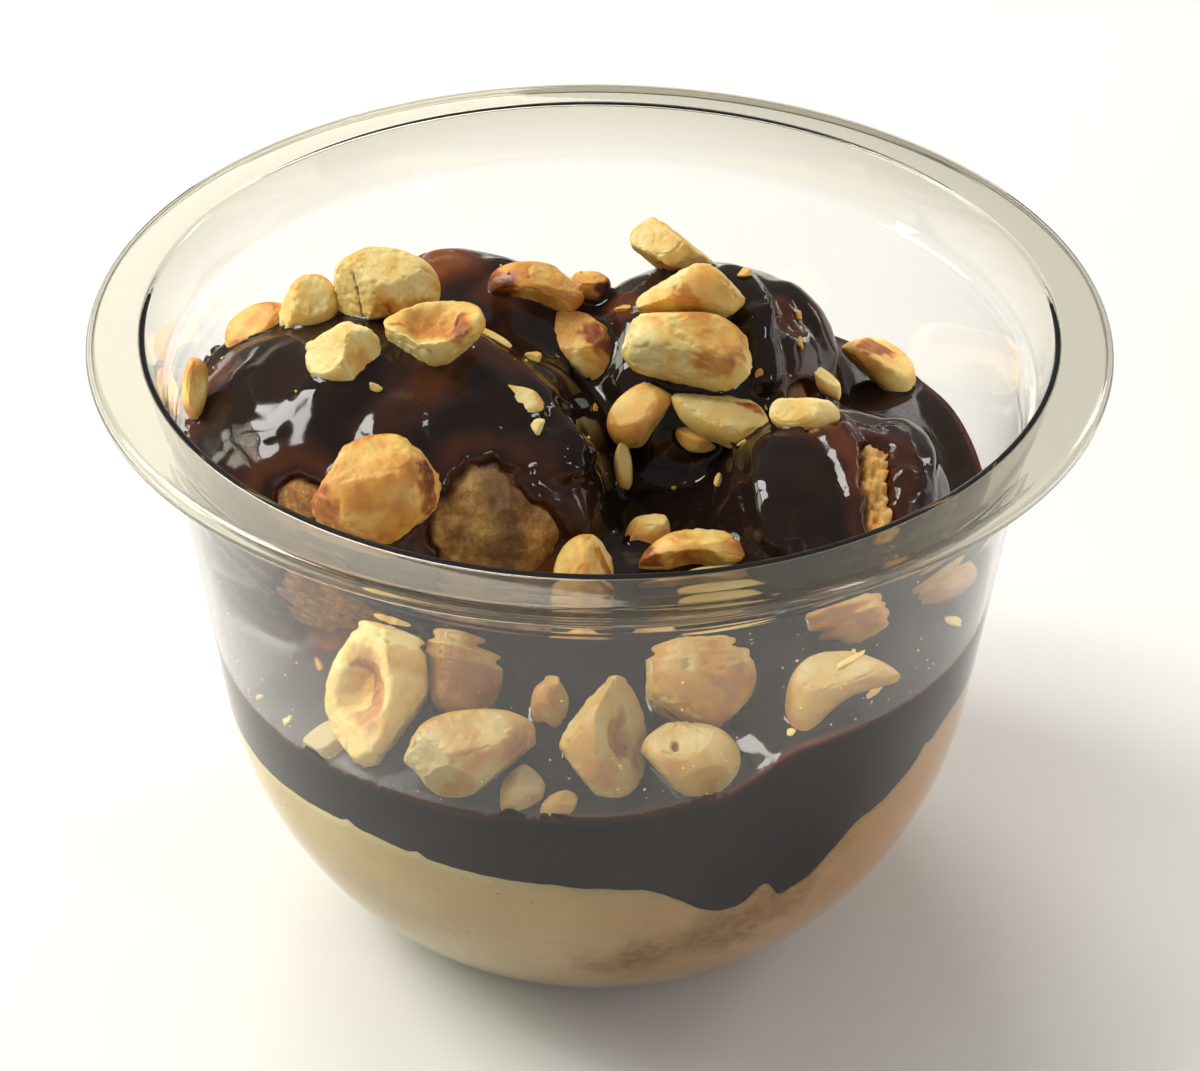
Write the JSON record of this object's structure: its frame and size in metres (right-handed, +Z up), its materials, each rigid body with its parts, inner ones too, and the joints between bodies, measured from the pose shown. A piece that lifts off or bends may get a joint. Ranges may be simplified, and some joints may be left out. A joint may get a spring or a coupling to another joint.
{
  "type": "profiterole dessert pot",
  "caption": "Clear round-bottomed cup of pale cream and dark chocolate sauce, topped with chocolate-coated profiteroles and broken roasted hazelnuts.",
  "frame": {"origin": "middle of the cup's flat foot, on the surface it stands on", "axes": "+Z up through the middle of the rim, +Y away from the viewer of the picture, +X to the viewer's right"},
  "size_m": [0.095, 0.095, 0.066],
  "materials": {
    "clear_plastic": "thin clear thermoformed plastic, glossy",
    "cream": "soft vanilla cream, pale beige to caramel, satin where it wets the wall",
    "chocolate": "dark chocolate sauce, very glossy and wet",
    "glazed_choux": "choux buns under a glossy chocolate coat, bare golden-brown crust where the coat is thin",
    "hazelnut": "broken roasted hazelnut, pale yellow breaks and orange-brown skin, satin"
  },
  "bodies": {
    "root": {"cup": "clear_plastic", "cream": "cream", "chocolate_sauce": "chocolate", "profiterole_left": "glazed_choux", "profiterole_back_left": "glazed_choux", "profiterole_back_right": "glazed_choux", "profiterole_right": "glazed_choux", "hazelnut_01": "hazelnut", "hazelnut_02": "hazelnut", "hazelnut_03": "hazelnut", "hazelnut_04": "hazelnut", "hazelnut_05": "hazelnut", "hazelnut_06": "hazelnut", "hazelnut_07": "hazelnut", "hazelnut_08": "hazelnut", "hazelnut_09": "hazelnut", "hazelnut_10": "hazelnut", "hazelnut_11": "hazelnut", "hazelnut_12": "hazelnut", "hazelnut_13": "hazelnut", "hazelnut_14": "hazelnut", "hazelnut_15": "hazelnut", "hazelnut_16": "hazelnut", "hazelnut_17": "hazelnut", "hazelnut_18": "hazelnut", "hazelnut_19": "hazelnut", "hazelnut_20": "hazelnut", "hazelnut_21": "hazelnut", "hazelnut_22": "hazelnut", "hazelnut_23": "hazelnut", "hazelnut_24": "hazelnut", "hazelnut_25": "hazelnut", "hazelnut_26": "hazelnut", "hazelnut_27": "hazelnut", "hazelnut_28": "hazelnut", "hazelnut_29": "hazelnut", "hazelnut_30": "hazelnut", "hazelnut_31": "hazelnut", "hazelnut_32": "hazelnut", "hazelnut_33": "hazelnut", "hazelnut_34": "hazelnut", "hazelnut_35": "hazelnut", "hazelnut_36": "hazelnut", "hazelnut_37": "hazelnut", "hazelnut_38": "hazelnut", "hazelnut_39": "hazelnut", "hazelnut_40": "hazelnut", "hazelnut_41": "hazelnut", "hazelnut_42": "hazelnut", "hazelnut_43": "hazelnut"}
  },
  "joints": []
}
